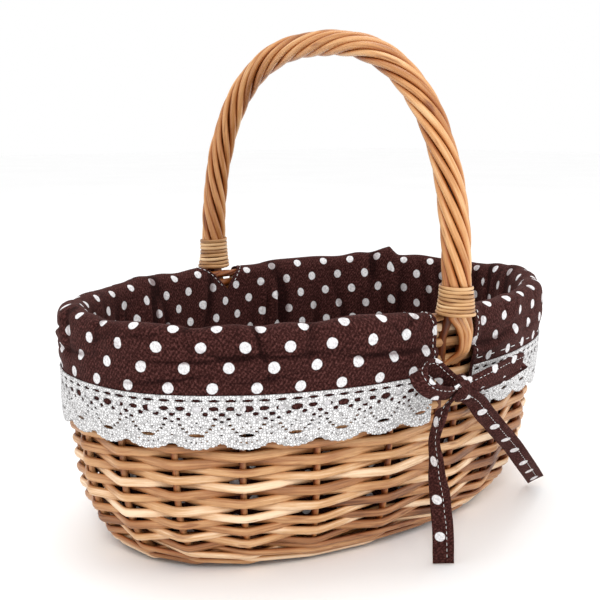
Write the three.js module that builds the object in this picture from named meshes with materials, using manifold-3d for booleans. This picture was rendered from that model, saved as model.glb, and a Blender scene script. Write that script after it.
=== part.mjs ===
// Flower girl basket: oval willow basket, wrapped arch handle, loose polka-dot liner.
// Millimetres, +Z up. X is the long axis, the handle arches over Y, the base rests on z = 0.
import * as THREE from "three";
import ManifoldModule from "manifold-3d";

// Willow body
const RIM_HALF_LENGTH = 144;
const RIM_HALF_WIDTH = 95;
const WALL_HEIGHT = 119;
const WALL_LEAN = 7.6;
const CORNER_INSET = 19.7;
const CORNER_SHARPNESS = 8;
const SQUARENESS = 2.08;
const STAKES = 22;
const FIRST_STAKE_DEG = -101.7;
const STAKE_RADIUS = 1.7;
const ROD_THICKNESS = 3.2;
const WALL_MID = -(STAKE_RADIUS + ROD_THICKNESS);
const WALL_INSIDE = WALL_MID - 3.4;
const COURSES = 12;
const WEAVE_BOTTOM = 0.6;
const WEAVE_TOP = 112.6;
const BAND_COURSES = [4, 8];
const VALLEY = WALL_MID + 2.8;
const GAP = 0.3;
const BORDER_Z = 115.3;
const BORDER_HALF_HEIGHT = 2.2;
const BORDER_HALF_WIDTH = 3.2;

// Base
const BASE_THICKNESS = 5.6;
const BASE_EDGE_BELOW = 28.2;
const BASE_EDGE_ABOVE = 33.2;
const BASE_STICK_RADIUS = 1.5;
const LONG_STICKS_Y = [-14, 14];
const CROSS_STICKS_X = [-42, 0, 42];

// Handle
const ARCH_TOP = 246.6;
const ARCH_HALF_SPAN = 97;
const ARCH_POWER = 0.812;
const CORE_RADIUS = 3.0;
const CORE_TIP_RADIUS = 1.9;
const CORE_TIP_Z = 38;
const HANDLE_RODS = 8;
const HANDLE_ROD_RADIUS = 1.7;
const HELIX_RADIUS = CORE_RADIUS + GAP + HANDLE_ROD_RADIUS + 0.15;
const TWISTS = 3.5;
const ARCH_STEPS = 38;
const FOOT_Z = 121.5;
const SPLAY_LEVELS = [112.6, 108, 103, 97, 90];
const SPLAY_X = [
  [-3.4, -0.6, 0.4, 0.2, -1.5],
  [0.8, 3.4, 4.4, 4.2, 2.5],
  [4.8, 7.4, 8.4, 8.2, 6.5],
  [9.0, 11.4, 12.4, 12.2, 10.5],
];
const SPLAY_LIFTS = [0.6, 2.2, 2.2, 0.6]; // extra distance from the weave just below the binding
const ROD_END_DROP = 3.75; // the twisted rods end this far below the foot of the arch
const BINDING_TURNS = 8;
const BINDING_BOTTOM = 118;
const FRONT_BINDING_TURN = 1.82;
const BACK_BINDING_TURN = 2.4;
const BINDING_INSIDE = HELIX_RADIUS + HANDLE_ROD_RADIUS + GAP;

// Liner, lace and ties
const CLOTH = 1.2;
const BAG_OUT = WALL_INSIDE - 0.5;
const BAG_FOOT = 4.7;
const BAG_TOP = 115.4;
const NOTCH_WIDTH = 22;
const LACE_MARGIN = 0.5; // the lace stops this much short of each end of its cuff
const SLIT_NARROW = 10; // from the foot's middle to the cuff on the side its rods lean away from
const SLIT_WIDE = 16; // and on the side they lean towards
const CUFF_SECTIONS = 23;
const CUFF_DROP = 29;
const LACE_TOP = WALL_HEIGHT - 26;
const LACE_BOTTOM = WALL_HEIGHT - 52.8;
const LACE_OUT = 1.9;
const LACE_THICKNESS = 0.8;
const TAPE_WIDTH = 10;
const LOOP_WIDTH = 8.4;
const TAPE = 1.2;

const WILLOW = material(0xc08a52, 0.6);
const STAKE_WILLOW = material(0xa56d3c, 0.65);
const HANDLE_WILLOW = material(0xc47f3f, 0.5);
const CANE = material(0xd9b06c, 0.5);
const COTTON = material(0x3b211d, 0.9);
const LACE = material(0xf1eeea, 0.9);

const wasm = await ManifoldModule();
wasm.setup();

const basket = new THREE.Group();
basket.name = "flower_girl_basket";

function material(color, roughness) {
  return new THREE.MeshStandardMaterial({ color, roughness, metalness: 0 });
}

function add(name, geometry, look) {
  const mesh = new THREE.Mesh(geometry, look);
  mesh.name = name;
  basket.add(mesh);
  return mesh;
}

// Closed skin through equal-sized sections of points; the ends are capped unless it loops.
function skin(sections, loop = false, outline = null) {
  const sides = sections[0].length;
  const count = sections.length;
  const index = [];
  for (let i = 0; i < (loop ? count : count - 1); i++) {
    const next = (i + 1) % count;
    for (let j = 0; j < sides; j++) {
      const k = (j + 1) % sides;
      const a = i * sides + j;
      const b = i * sides + k;
      const c = next * sides + k;
      const d = next * sides + j;
      index.push(a, b, c, a, c, d);
    }
  }
  if (!loop) {
    const flat = outline ?? sections[0].map((_, j) => circlePoint(j, sides, 1));
    const end = (count - 1) * sides;
    const clockwise = THREE.ShapeUtils.isClockWise(flat);
    for (const face of THREE.ShapeUtils.triangulateShape(flat, [])) {
      const [a, b, c] = clockwise ? [face[0], face[2], face[1]] : face;
      index.push(a, c, b, end + a, end + b, end + c);
    }
  }
  return closedGeometry(sections.flat(), index);
}

function circlePoint(j, sides, radius) {
  const angle = (2 * Math.PI * j) / sides;
  return new THREE.Vector2(radius * Math.cos(angle), radius * Math.sin(angle));
}

// Geometry from points and triangles, turned so that its faces look outwards.
function closedGeometry(points, index) {
  let volume = 0;
  for (let i = 0; i < index.length; i += 3) {
    const [a, b, c] = [points[index[i]], points[index[i + 1]], points[index[i + 2]]];
    volume += a.dot(new THREE.Vector3().crossVectors(b, c));
  }
  const outward = volume < 0 ? [...index].reverse() : index;
  const geometry = new THREE.BufferGeometry();
  const flat = points.flatMap((p) => [p.x, p.y, p.z]);
  geometry.setAttribute("position", new THREE.Float32BufferAttribute(flat, 3));
  geometry.setIndex(outward);
  geometry.computeVertexNormals();
  return geometry;
}

function toManifold(geometry) {
  const mesh = new wasm.Mesh({
    numProp: 3,
    vertProperties: new Float32Array(geometry.attributes.position.array),
    triVerts: new Uint32Array(geometry.index.array),
  });
  mesh.merge();
  return new wasm.Manifold(mesh);
}

function fromManifold(solid) {
  const mesh = solid.getMesh();
  const geometry = new THREE.BufferGeometry();
  geometry.setAttribute("position", new THREE.Float32BufferAttribute(mesh.vertProperties, 3));
  geometry.setIndex([...mesh.triVerts]);
  geometry.computeVertexNormals();
  return geometry;
}

function cut(geometry, tools) {
  const solids = tools.map(toManifold);
  const tool = wasm.Manifold.union(solids);
  return fromManifold(toManifold(geometry).subtract(tool).simplify(0.02));
}

// Round rod through points; radius is a number or one number per point.
function tube(points, radius, sides = 6) {
  const sections = [];
  let side = null;
  points.forEach((point, i) => {
    const before = points[Math.max(i - 1, 0)];
    const after = points[Math.min(i + 1, points.length - 1)];
    const along = after.clone().sub(before).normalize();
    if (!side) {
      const helper = Math.abs(along.z) > 0.7 ? new THREE.Vector3(0, 1, 0) : new THREE.Vector3(0, 0, 1);
      side = new THREE.Vector3().crossVectors(helper, along);
    }
    side.addScaledVector(along, -side.dot(along)).normalize();
    const other = new THREE.Vector3().crossVectors(along, side);
    const size = Array.isArray(radius) ? radius[i] : radius;
    sections.push(
      Array.from({ length: sides }, (_, j) => {
        const c = circlePoint(j, sides, size);
        return point.clone().addScaledVector(side, c.x).addScaledVector(other, c.y);
      }),
    );
  });
  return skin(sections);
}

// Flat tape through points, its width along the given direction at each point.
function tape(points, across, width) {
  const sections = points.map((point, i) => {
    const before = points[Math.max(i - 1, 0)];
    const after = points[Math.min(i + 1, points.length - 1)];
    const along = after.clone().sub(before).normalize();
    const wide = across[i].clone();
    wide.addScaledVector(along, -wide.dot(along)).normalize();
    const normal = new THREE.Vector3().crossVectors(along, wide);
    const corners = [[-1, -1], [1, -1], [1, 1], [-1, 1]];
    return corners.map(([u, v]) =>
      point.clone().addScaledVector(wide, (u * width) / 2).addScaledVector(normal, (v * TAPE) / 2),
    );
  });
  return skin(sections);
}

function wallInset(z) {
  const left = 1 - z / WALL_HEIGHT;
  return WALL_LEAN * left + CORNER_INSET * Math.max(left, 0) ** CORNER_SHARPNESS;
}

function oval(angle, halfLength, halfWidth, z) {
  const c = Math.cos(angle);
  const s = Math.sin(angle);
  const power = 2 / SQUARENESS;
  const x = halfLength * Math.sign(c) * Math.abs(c) ** power;
  const y = halfWidth * Math.sign(s) * Math.abs(s) ** power;
  return new THREE.Vector3(x, y, z);
}

// Point on the wall at height z, moved out from the outer surface along its normal.
function wallPoint(angle, z, out = 0) {
  const inset = wallInset(z);
  const halfLength = RIM_HALF_LENGTH - inset;
  const halfWidth = RIM_HALF_WIDTH - inset;
  const point = oval(angle, halfLength, halfWidth, z);
  const outward = new THREE.Vector3(point.x / halfLength ** 2, point.y / halfWidth ** 2, 0).normalize();
  const slope = wallInset(z - 0.5) - wallInset(z + 0.5);
  outward.z = -slope;
  return point.addScaledVector(outward.normalize(), out);
}

function ringAt(z, out) {
  return ringAngles.map((angle) => wallPoint(angle, z, out));
}

// Stakes and the woven bands that hold them
const stepAngle = (2 * Math.PI) / STAKES;
const firstAngle = THREE.MathUtils.degToRad(FIRST_STAKE_DEG);
const ringAngles = Array.from({ length: 2 * STAKES }, (_, k) => firstAngle + (k * stepAngle) / 2);
const stakeLevels = [0.2, 2.6, 7, 14, 26, 50, WEAVE_TOP];
const stakeChannels = [];
for (let i = 0; i < STAKES; i++) {
  const angle = firstAngle + i * stepAngle;
  const points = stakeLevels.map((z) => wallPoint(angle, z, WALL_MID));
  add(`stake_${i + 1}`, tube(points.slice(1), STAKE_RADIUS), STAKE_WILLOW);
  const beyond = points[points.length - 1].clone().add(new THREE.Vector3(0, 0, 2));
  const start = points[0].clone().sub(points[1]).add(points[0]);
  stakeChannels.push(tube([start, ...points.slice(1), beyond], STAKE_RADIUS + GAP + 0.1));
}

const coreLevels = [CORE_TIP_Z, 70, 100, 108];
function footPath(side) {
  const inWall = coreLevels.map((z) => wallPoint((side * Math.PI) / 2, z, WALL_MID));
  return [...inWall, new THREE.Vector3(0, side * (ARCH_HALF_SPAN - 1.5), 116.5)];
}
const footRadii = [CORE_TIP_RADIUS - 0.3, CORE_TIP_RADIUS, CORE_TIP_RADIUS, CORE_TIP_RADIUS, 2.4];
function footChannel(side) {
  const path = footPath(side);
  const first = path[0].clone();
  first.z -= 1;
  const last = new THREE.Vector3(0, side * ARCH_HALF_SPAN, FOOT_Z);
  return tube([first, ...path, last], [2, ...footRadii, CORE_RADIUS].map((r) => r + GAP + 0.1), 8);
}
const channels = [...stakeChannels, footChannel(-1), footChannel(1)];

const courseHeight = (WEAVE_TOP - WEAVE_BOTTOM) / COURSES;
function weaveBand(firstCourse, courses) {
  const sections = [];
  for (let k = 0; k < 2 * STAKES; k++) {
    const angle = firstAngle + (k * stepAngle) / 2;
    const outside = [];
    const inside = [];
    const low = WEAVE_BOTTOM + firstCourse * courseHeight + GAP / 2;
    const high = WEAVE_BOTTOM + (firstCourse + courses) * courseHeight - GAP / 2;
    for (let c = 0; c <= courses; c++) {
      const z = Math.min(Math.max(WEAVE_BOTTOM + (firstCourse + c) * courseHeight, low), high);
      outside.push(wallPoint(angle, z, VALLEY));
      const curved = firstCourse === 0 && c < 4;
      if (curved || c === 0 || c === courses) inside.unshift(wallPoint(angle, z, WALL_INSIDE));
      if (c < courses) {
        const overStake = (k / 2 + firstCourse + c) % 2 === 0;
        const between = k % 2 === 1;
        const peak = overStake ? 0 : between ? -1 : VALLEY;
        outside.push(wallPoint(angle, z + courseHeight / 2, peak));
      }
    }
    sections.push([...outside, ...inside]);
  }
  return skin(sections, true);
}
let course = 0;
BAND_COURSES.forEach((courses, i) => {
  add(`weave_band_${i + 1}`, cut(weaveBand(course, courses), channels), WILLOW);
  course += courses;
});

const borderSections = [];
for (let k = 0; k < 2 * STAKES; k++) {
  const angle = firstAngle + (k * stepAngle) / 2;
  borderSections.push(
    Array.from({ length: 8 }, (_, j) => {
      const c = circlePoint(j + 0.5, 8, 1);
      const z = BORDER_Z + c.y * BORDER_HALF_HEIGHT;
      return wallPoint(angle, z, WALL_MID + c.x * BORDER_HALF_WIDTH);
    }),
  );
}
const footChannels = [footChannel(-1), footChannel(1)];
add("rolled_border", cut(skin(borderSections, true), footChannels), WILLOW);

// Woven base on long sticks, with cross sticks over it
const baseRing = (inset, z) =>
  Array.from({ length: 44 }, (_, i) =>
    oval((2 * Math.PI * i) / 44, RIM_HALF_LENGTH - inset, RIM_HALF_WIDTH - inset, z),
  );
const basePlate = skin([baseRing(BASE_EDGE_BELOW, 0), baseRing(BASE_EDGE_ABOVE, BASE_THICKNESS)]);
const stick = (from, to, radius) => tube([from, to], radius, 8);
const longStick = (y, half, radius) =>
  stick(
    new THREE.Vector3(-half, y, BASE_THICKNESS / 2),
    new THREE.Vector3(half, y, BASE_THICKNESS / 2),
    radius,
  );
const longHalf = (y) => (RIM_HALF_LENGTH - BASE_EDGE_ABOVE) * Math.sqrt(1 - (y / 62) ** 2) - 3;
const baseTools = LONG_STICKS_Y.map((y) => longStick(y, RIM_HALF_LENGTH, BASE_STICK_RADIUS + GAP));
add("base_weave", cut(basePlate, baseTools), WILLOW);
LONG_STICKS_Y.forEach((y, i) => {
  add(`base_long_stick_${i + 1}`, longStick(y, longHalf(y), BASE_STICK_RADIUS), STAKE_WILLOW);
});
CROSS_STICKS_X.forEach((x, i) => {
  const half = (RIM_HALF_WIDTH - BASE_EDGE_ABOVE) * Math.sqrt(1 - (x / 111) ** 2) - 4;
  const z = BASE_THICKNESS + GAP + BASE_STICK_RADIUS;
  const from = new THREE.Vector3(x, -half, z);
  const to = new THREE.Vector3(x, half, z);
  add(`base_cross_stick_${i + 1}`, stick(from, to, BASE_STICK_RADIUS), STAKE_WILLOW);
});

// Handle: core bow, eight rods twisted round it and a cane binding at each foot
function archPoint(u) {
  const s = Math.PI * u;
  const y = ARCH_HALF_SPAN * Math.sign(Math.cos(s)) * Math.abs(Math.cos(s)) ** ARCH_POWER;
  const rise = (ARCH_TOP - FOOT_Z) * Math.abs(Math.sin(s)) ** ARCH_POWER;
  return new THREE.Vector3(0, y, FOOT_Z + rise);
}
class Arch extends THREE.Curve {
  getPoint(u, target = new THREE.Vector3()) {
    return target.copy(archPoint(u));
  }
}
const arch = new Arch();
arch.arcLengthDivisions = 2000;
const archPath = arch.getSpacedPoints(ARCH_STEPS);
const coreArch = arch.getSpacedPoints(28);
const coreFront = footPath(-1);
const coreBack = footPath(1).reverse();
const reversedArch = [...coreArch].reverse();
const corePath = [...coreFront, ...reversedArch, ...coreBack];
const coreRadii = [
  ...footRadii,
  ...reversedArch.map(() => CORE_RADIUS),
  ...[...footRadii].reverse(),
];
add("handle_core", tube(corePath, coreRadii, 8), HANDLE_WILLOW);

// Four rods leave each binding on the outer side and spread down over the weave.
function splay(side, slot) {
  return SPLAY_LEVELS.map((z, i) => {
    const x = -side * SPLAY_X[slot][i];
    const angle = (side * Math.PI) / 2 - side * Math.asin(x / RIM_HALF_LENGTH);
    const lift = i === 0 ? SPLAY_LIFTS[slot] : 0;
    const point = wallPoint(angle, z, HANDLE_ROD_RADIUS + GAP + 0.1 + lift);
    point.x = x;
    return point;
  });
}
const rodPaths = [];
for (let i = 0; i < HANDLE_RODS; i++) {
  rodPaths.push(
    archPath.map((point, k) => {
      const u = k / ARCH_STEPS;
      const angle = 2 * Math.PI * ((i + 0.5) / HANDLE_RODS + TWISTS * u);
      const along = arch.getTangentAt(u);
      const acrossX = new THREE.Vector3(1, 0, 0);
      const outward = new THREE.Vector3().crossVectors(acrossX, along);
      const offset = acrossX.multiplyScalar(HELIX_RADIUS * Math.cos(angle));
      return point.clone().add(offset).addScaledVector(outward, HELIX_RADIUS * Math.sin(angle));
    }),
  );
}
function splayed(side) {
  const end = (path) => path[side < 0 ? ARCH_STEPS : 0];
  const outer = rodPaths.filter((path) => side * end(path).y > ARCH_HALF_SPAN + 1);
  return outer.sort((p, q) => side * (end(q).x - end(p).x));
}
const frontOrder = splayed(-1);
const backOrder = splayed(1);
rodPaths.forEach((path, i) => {
  const front = frontOrder.indexOf(path);
  const back = backOrder.indexOf(path);
  const below = (point) => new THREE.Vector3(point.x, point.y, point.z - ROD_END_DROP);
  const before = back < 0 ? [] : splay(1, back).reverse();
  const after = front < 0 ? [] : splay(-1, front);
  const whole = [...before, below(path[0]), ...path, below(path[ARCH_STEPS]), ...after];
  const rod = tube(whole, HANDLE_ROD_RADIUS, 5);
  add(`handle_rod_${i + 1}`, rod, HANDLE_WILLOW);
});

function binding(side, turnHeight) {
  const profile = [];
  for (let i = 0; i <= 2 * BINDING_TURNS; i++) {
    const z = BINDING_BOTTOM + (i * turnHeight) / 2;
    const flare = 0.7 * (1 - i / (2 * BINDING_TURNS)) ** 2;
    profile.push([BINDING_INSIDE + 0.7 + flare + (i % 2 ? 0.5 : 0), z]);
  }
  const top = BINDING_BOTTOM + BINDING_TURNS * turnHeight;
  const ring = [[BINDING_INSIDE, top], [BINDING_INSIDE, BINDING_BOTTOM]];
  const sides = 16;
  const sections = Array.from({ length: sides }, (_, j) => {
    return [...profile, ...ring].map(([radius, z]) => {
      const c = circlePoint(j, sides, radius);
      return new THREE.Vector3(c.x, side * (ARCH_HALF_SPAN - 0.2) + c.y, z);
    });
  });
  return skin(sections, true);
}
add("front_binding", binding(-1, FRONT_BINDING_TURN), CANE);
add("back_binding", binding(1, BACK_BINDING_TURN), CANE);

// Liner bag: outer and inner skins, notched under each handle foot
const bagLevels = [BAG_FOOT, 11, 22, 48, BAG_TOP];
const bagOuter = skin(bagLevels.map((z) => ringAt(z, BAG_OUT)));
const cavityLevels = [...bagLevels.slice(0, -1), BAG_TOP + 4];
const bagInner = skin(cavityLevels.map((z) => ringAt(z, BAG_OUT - CLOTH)));
const notches = [-1, 1].map((side) => {
  const notch = new THREE.BoxGeometry(NOTCH_WIDTH, 24, 24);
  notch.translate(0, side * (RIM_HALF_WIDTH - 10), WALL_HEIGHT + 3);
  return notch;
});
add("liner_bag", cut(bagOuter, [bagInner, ...notches]), COTTON);

// Half ring of cloth with the given centreline profile of [out, height]
function halfRing(side, profile, thickness, margin) {
  const slitAngle = (slit) => Math.asin(((slit + margin) / RIM_HALF_LENGTH) ** (SQUARENESS / 2));
  const middle = side < 0 ? Math.PI : 0;
  const first = middle - Math.PI / 2 + slitAngle(SLIT_WIDE);
  const last = middle + Math.PI / 2 - slitAngle(SLIT_NARROW);
  const upper = [];
  const lower = [];
  profile.forEach((p, i) => {
    const before = profile[Math.max(i - 1, 0)];
    const after = profile[Math.min(i + 1, profile.length - 1)];
    const along = new THREE.Vector2(after[0] - before[0], after[1] - before[1]).normalize();
    const half = thickness / 2;
    upper.push(new THREE.Vector2(p[0] - along.y * half, p[1] + along.x * half));
    lower.unshift(new THREE.Vector2(p[0] + along.y * half, p[1] - along.x * half));
  });
  const outline = [...upper, ...lower];
  const sections = [];
  for (let i = 0; i < CUFF_SECTIONS; i++) {
    const t = i / (CUFF_SECTIONS - 1);
    const angle = first + (last - first) * t;
    sections.push(
      outline.map((p) => {
        const level = Math.min(p.y, WALL_HEIGHT);
        const point = wallPoint(angle, level, p.x);
        point.z = p.y;
        return point;
      }),
    );
  }
  return skin(sections, false, outline);
}
const cuffProfile = [
  [BAG_OUT - CLOTH / 2, WALL_HEIGHT - 2.6],
  [BAG_OUT - CLOTH / 2, WALL_HEIGHT - 0.6],
  [-8, WALL_HEIGHT + 0.9],
  [-4.5, WALL_HEIGHT + 1.7],
  [-0.6, WALL_HEIGHT + 1.2],
  [2.2, WALL_HEIGHT - 1.6],
  [3.6, WALL_HEIGHT - 9],
  [3.8, WALL_HEIGHT - 19],
  [3.4, WALL_HEIGHT - CUFF_DROP],
];
const laceProfile = [
  [LACE_OUT, LACE_TOP],
  [LACE_OUT, (LACE_TOP + LACE_BOTTOM) / 2],
  [LACE_OUT, LACE_BOTTOM],
];
for (const [side, name] of [[-1, "left"], [1, "right"]]) {
  add(`cuff_${name}`, halfRing(side, cuffProfile, CLOTH, 0), COTTON);
  add(`lace_${name}`, halfRing(side, laceProfile, LACE_THICKNESS, LACE_MARGIN), LACE);
}

// Ties: knot, two loops and two tails under each handle foot
const vectors = (rows) => rows.map((row) => new THREE.Vector3(...row));
const knotCentre = [-7, -108, 85.6];
const knotRadii = [4.9, 3.9, 6.2];
const leftLoop = vectors([
  [-13, -110.2, 85.8], [-18, -111.2, 85.2], [-25, -111.4, 86.6], [-32.5, -110.6, 90.6],
  [-35.2, -108.6, 95.6], [-31, -106.6, 98.6], [-23.5, -105.6, 97.8], [-18, -105.6, 94.2],
  [-14.4, -105.8, 90.6],
]);
const rightLoop = vectors([
  [-1, -110.4, 87.4], [6, -111, 88.4], [16.3, -110, 89.2], [31.8, -107, 90], [41.6, -104, 90.2],
  [44.4, -101.8, 88.8], [41.6, -100.8, 86.6], [32, -102.4, 85.4], [19, -104.2, 84.8], [6, -105.6, 84.8],
  [-1, -106.4, 85],
]);
const leftTail = vectors([
  [-11.4, -107.4, 79.2], [-16, -107.4, 77], [-19.6, -106.8, 72], [-20.8, -106, 61.4], [-19.2, -106, 47],
  [-16.3, -106, 32.4], [-14.4, -106.2, 17.7], [-13.6, -106.4, 0.9],
]);
const frontRightTail = vectors([
  [-2.4, -108, 76.4], [6, -107.2, 73.4], [16, -104.6, 67.5], [42, -96.5, 49], [74, -84.5, 25.6],
  [104.5, -69.6, 5],
]);
const backRightTail = vectors([
  [-2.4, -108, 76.4], [4, -107.6, 73.6], [11, -106.6, 66], [20, -105.4, 46], [26, -105, 24], [29, -105, 6],
]);
const upright = new THREE.Vector3(0, 0, 1);
const leftLoopAcross = new THREE.Vector3(0.45, -0.6, 0.65).normalize();
const leftTailAcross = new THREE.Vector3(0.77, -0.64, 0);
const rightTailAcross = new THREE.Vector3(0.62, 0, 0.78);
function bow(side, name) {
  const turn = side < 0 ? 0 : Math.PI;
  const place = (part, geometry) => add(`${name}_${part}`, geometry.rotateZ(turn), COTTON);
  const strip = (route, across, width) => tape(route, route.map(() => across), width);
  const knot = new THREE.SphereGeometry(1, 10, 6);
  knot.rotateX(Math.PI / 2);
  knot.scale(...knotRadii);
  knot.translate(...knotCentre);
  place("knot", knot);
  place("loop_left", strip(leftLoop, leftLoopAcross, LOOP_WIDTH));
  place("loop_right", strip(rightLoop, upright, LOOP_WIDTH));
  place("tail_left", strip(leftTail, leftTailAcross, TAPE_WIDTH));
  place("tail_right", strip(side < 0 ? frontRightTail : backRightTail, rightTailAcross, TAPE_WIDTH));
}
bow(-1, "front");
bow(1, "back");

export default basket;
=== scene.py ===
import math

import bpy
import numpy as np
from mathutils import Matrix, Vector


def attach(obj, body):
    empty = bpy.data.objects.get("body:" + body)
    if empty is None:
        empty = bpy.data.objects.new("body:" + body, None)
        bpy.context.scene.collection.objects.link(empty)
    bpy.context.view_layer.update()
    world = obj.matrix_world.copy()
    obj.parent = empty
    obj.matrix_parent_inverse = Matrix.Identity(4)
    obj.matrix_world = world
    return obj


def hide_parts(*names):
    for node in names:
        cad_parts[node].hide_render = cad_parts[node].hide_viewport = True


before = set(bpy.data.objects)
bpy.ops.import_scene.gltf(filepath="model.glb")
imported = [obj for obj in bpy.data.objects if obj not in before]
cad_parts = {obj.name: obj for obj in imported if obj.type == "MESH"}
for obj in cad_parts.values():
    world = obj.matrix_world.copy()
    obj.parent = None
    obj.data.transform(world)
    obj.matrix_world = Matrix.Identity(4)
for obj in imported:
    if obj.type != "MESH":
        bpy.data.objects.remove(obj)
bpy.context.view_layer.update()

# Flower girl basket. Shapes are worked out in millimetres and stored in metres.
MM = 0.001
RNG = np.random.default_rng(20261118)
UP = np.array([0.0, 0.0, 1.0])

# Wall, as in the CAD
RIM_HALF_LENGTH, RIM_HALF_WIDTH, WALL_HEIGHT = 144.0, 95.0, 119.0
WALL_LEAN, CORNER_INSET, CORNER_SHARPNESS = 7.6, 19.7, 8.0
SQUARENESS = 2.08
END_TUCK, END_BULGE = 2.2, 1.5  # the two ends draw in below the rim and swell lower down
BULGE_RISE, TUCK_START, TUCK_RISE = 30.0, 62.0, 56.0
STAKES = 22
STAKE_STEP = 2 * math.pi / STAKES
FIRST_STAKE = math.radians(-101.7)

# Rods of the wall and border
WALL_MID = -4.0  # middle of the wall's thickness, measured out from the wall surface
STAKE_RADIUS = 1.65
ROD_THICK, ROD_TALL = 2.8, 4.75
WEAVE_REACH = STAKE_RADIUS + ROD_THICK / 2 - 0.05
WALE_HEIGHTS, WALE_STRANDS, WALE_RISES, WALE_ROD_TALL = (3.4, 8.4), 3, (1.9, -1.7, 0.0), ROD_TALL * 0.88
ROWS_START, ROWS_END, ROW_PITCH = 12.6, 110.6, 3.72
RODS_IN_ROW = 2
STAKE_HEIGHTS = np.concatenate([np.linspace(0.6, 14, 14), np.linspace(18, 113.5, 18)])
SPAN_POINTS = 9  # points on a rod from one stake to the next
BORDER_Z, BORDER_MID = 115.3, -4.9
BORDER_STRANDS, BORDER_TURNS, BORDER_POINTS = 4, 20, 480
BORDER_HALF_WIDTH, BORDER_HALF_HEIGHT, BORDER_ROD = 1.7, 0.95, (1.4, 1.15)

# Base mat
BASE_Z = 3.8
BASE_HALF_LENGTH, BASE_HALF_WIDTH, BASE_RING_PITCH = 113.0, 64.0, 3.62
BASE_RINGS, OUTER_RINGS, INNER_SPOKES, SPOKE_POINTS = 17, 9, 12, 8
BASE_ROD_WIDE, BASE_ROD_THICK, BASE_WAVE = 3.7, 2.5, 2.45
SPOKE_ENDS = [(54.0, 4.0), (112.0, 63.0)]  # half lengths and half widths of the ovals they join
LONG_STICKS = [(-14.0, 104), (14.0, 104), (-3.2, 60), (3.2, 60)]  # y, half length
CROSS_STICKS_X, CROSS_STICK_HALF, CROSS_STICK_Z = (-42.0, 0.0, 42.0), 54, 9.2

# Handle
ARCH_TOP, ARCH_HALF_SPAN, ARCH_POWER, FOOT_Z = 246.4, 98.1, 0.808, 121.5
HANDLE_RODS, HANDLE_ROD_RADIUS, HELIX_RADIUS, TWISTS = 8, 1.85, 5.2, 3.5
ARCH_STEPS = 210
# Rods that spread over the weave below a binding: heights, a row of places across for each rod,
# and how far they stand off the wall
SPLAY_LEVELS = [117.5, 112.0, 107.5, 103.0, 98.5, 95.0, 91.5]
SPLAY_X = [
    [-4.2, 1.9, 5.3, 6.3, 5.8, 4.2, 1.5],
    [-0.6, 4.8, 8.0, 8.4, 7.6, 6.4, 4.3],
    [3.0, 7.6, 10.4, 10.2, 9.2, 8.4, 7.0],
    [6.4, 10.3, 12.4, 11.8, 10.8, 10.2, 9.6],
]
SPLAY_LIFT = [2.6, 1.3, 0.7, 0.9, 0.6, -2.2, -5.2]
SPLAY_STACK, STACKED_SLOTS, STACKED_LEVELS = 0.5, (1, 2), (2, 3, 4)
SPLAY_GIRTH, SPLAY_GIRTH_Z = 0.72, (104, 118)  # rods grow thinner as they go down over the weave
SPLAY_STEPS = 7
ROD_END_DROP = 3.0
CORE_RADII, CORE_RADII_Z = (1.9, 2.9), (100, 125)
CORE_FOOT_HEIGHTS = np.array([40.0, 75.0, 106.0])
BINDING_TURNS, BINDING_TURN_POINTS = 8, 40
BINDING_RADIUS, BINDING_FLARE, CANE_HALF_THICK = 7.6, 1.5, 0.6
NEAR_BINDING, FAR_BINDING = (117.0, 132.6), (117.6, 137.4)

# Cloth
SKEW = 0.3  # how far the dots' rows lean on the cuff
BAG_OUT = -10.3  # the bag's place, measured out from the wall surface
CLOTH = 0.8
FLOOR_Z = 11.9
FOLD, HEM = 113.4, 147.0  # distances up the liner's profile
SAG = 1.5  # the most that the fold sinks, so that it stays above the border
DEEPEST_BAG, CUFF_LOWEST = 6.5, -1.5
BAG_FOOT_Z, BAG_FOOT_REACH, BAG_FOOT_DROP = 30.0, 18.0, 6.2  # where the bag draws in to its floor
CUFF_MIDDLE_Z = 90.0
SEAM_REACH = 9.0
PLEAT_ANGLE, TUCK_ANGLE, PUFF_ANGLE = 38, -146, -139
HALF_COLUMNS, STITCH_POINTS, STITCH_OUT = 460, 7, CLOTH / 2 + 0.15
NOTCH_START, NOTCH_END = 97.0, 112.0
SLIT_NARROW, SLIT_WIDE, SLIT_CROWN = 10.0, 15.5, 1.2
SLIT_STITCH_INSET, HEM_STITCH_INSET = 2.4, 3.2
DOT_PITCH, DOT_ROW, DOT_RADIUS = 19.2, 9.0, 2.45
TWILL = 2 * math.pi / 1.9
LACE_TOP, LACE_DROP, LACE_REPEAT = 90.4, 24.6, 21.8
LACE_THICK, LACE_STEP, LACE_OUT, LACE_END_INSETS = 0.75, 0.6, 0.78, np.array([1.2, -1.2])
TAIL_WIDTH, LOOP_WIDTH, TAPE_THICK = 10.0, 8.4, 1.1
KNOT_MIDDLE, KNOT_HALF = np.array([-7.0, -108.0, 85.6]), (4.9, 3.9, 6.0)


# ---------------------------------------------------------------- small helpers
def unit(vectors):
    return vectors / np.linalg.norm(vectors, axis=-1, keepdims=True)


def signed_power(x, power):
    return np.sign(x) * np.abs(x) ** power


def bell(x, width):
    """A smooth bump of height 1 at zero."""
    return np.exp(-((x / width) ** 2))


def share(x, length):
    """How far x has come along a length, from 0 to 1."""
    return np.clip(x / length, 0, 1)


def column(value, count):
    """One value, or count of them, as a column."""
    return np.broadcast_to(value, (count,))[:, None]


def stacked(*parts):
    """Points or vectors from coordinates whose shapes go together."""
    return np.stack(np.broadcast_arrays(*parts), -1)


def run_along(path):
    """Distance along a path at each of its points."""
    return np.concatenate([[0], np.cumsum(np.linalg.norm(np.diff(path, axis=0), axis=1))])


def points_at(at, run, path):
    """Points of a path at the given distances along it."""
    return np.stack([np.interp(at, run, values) for values in path.T], -1)


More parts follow.
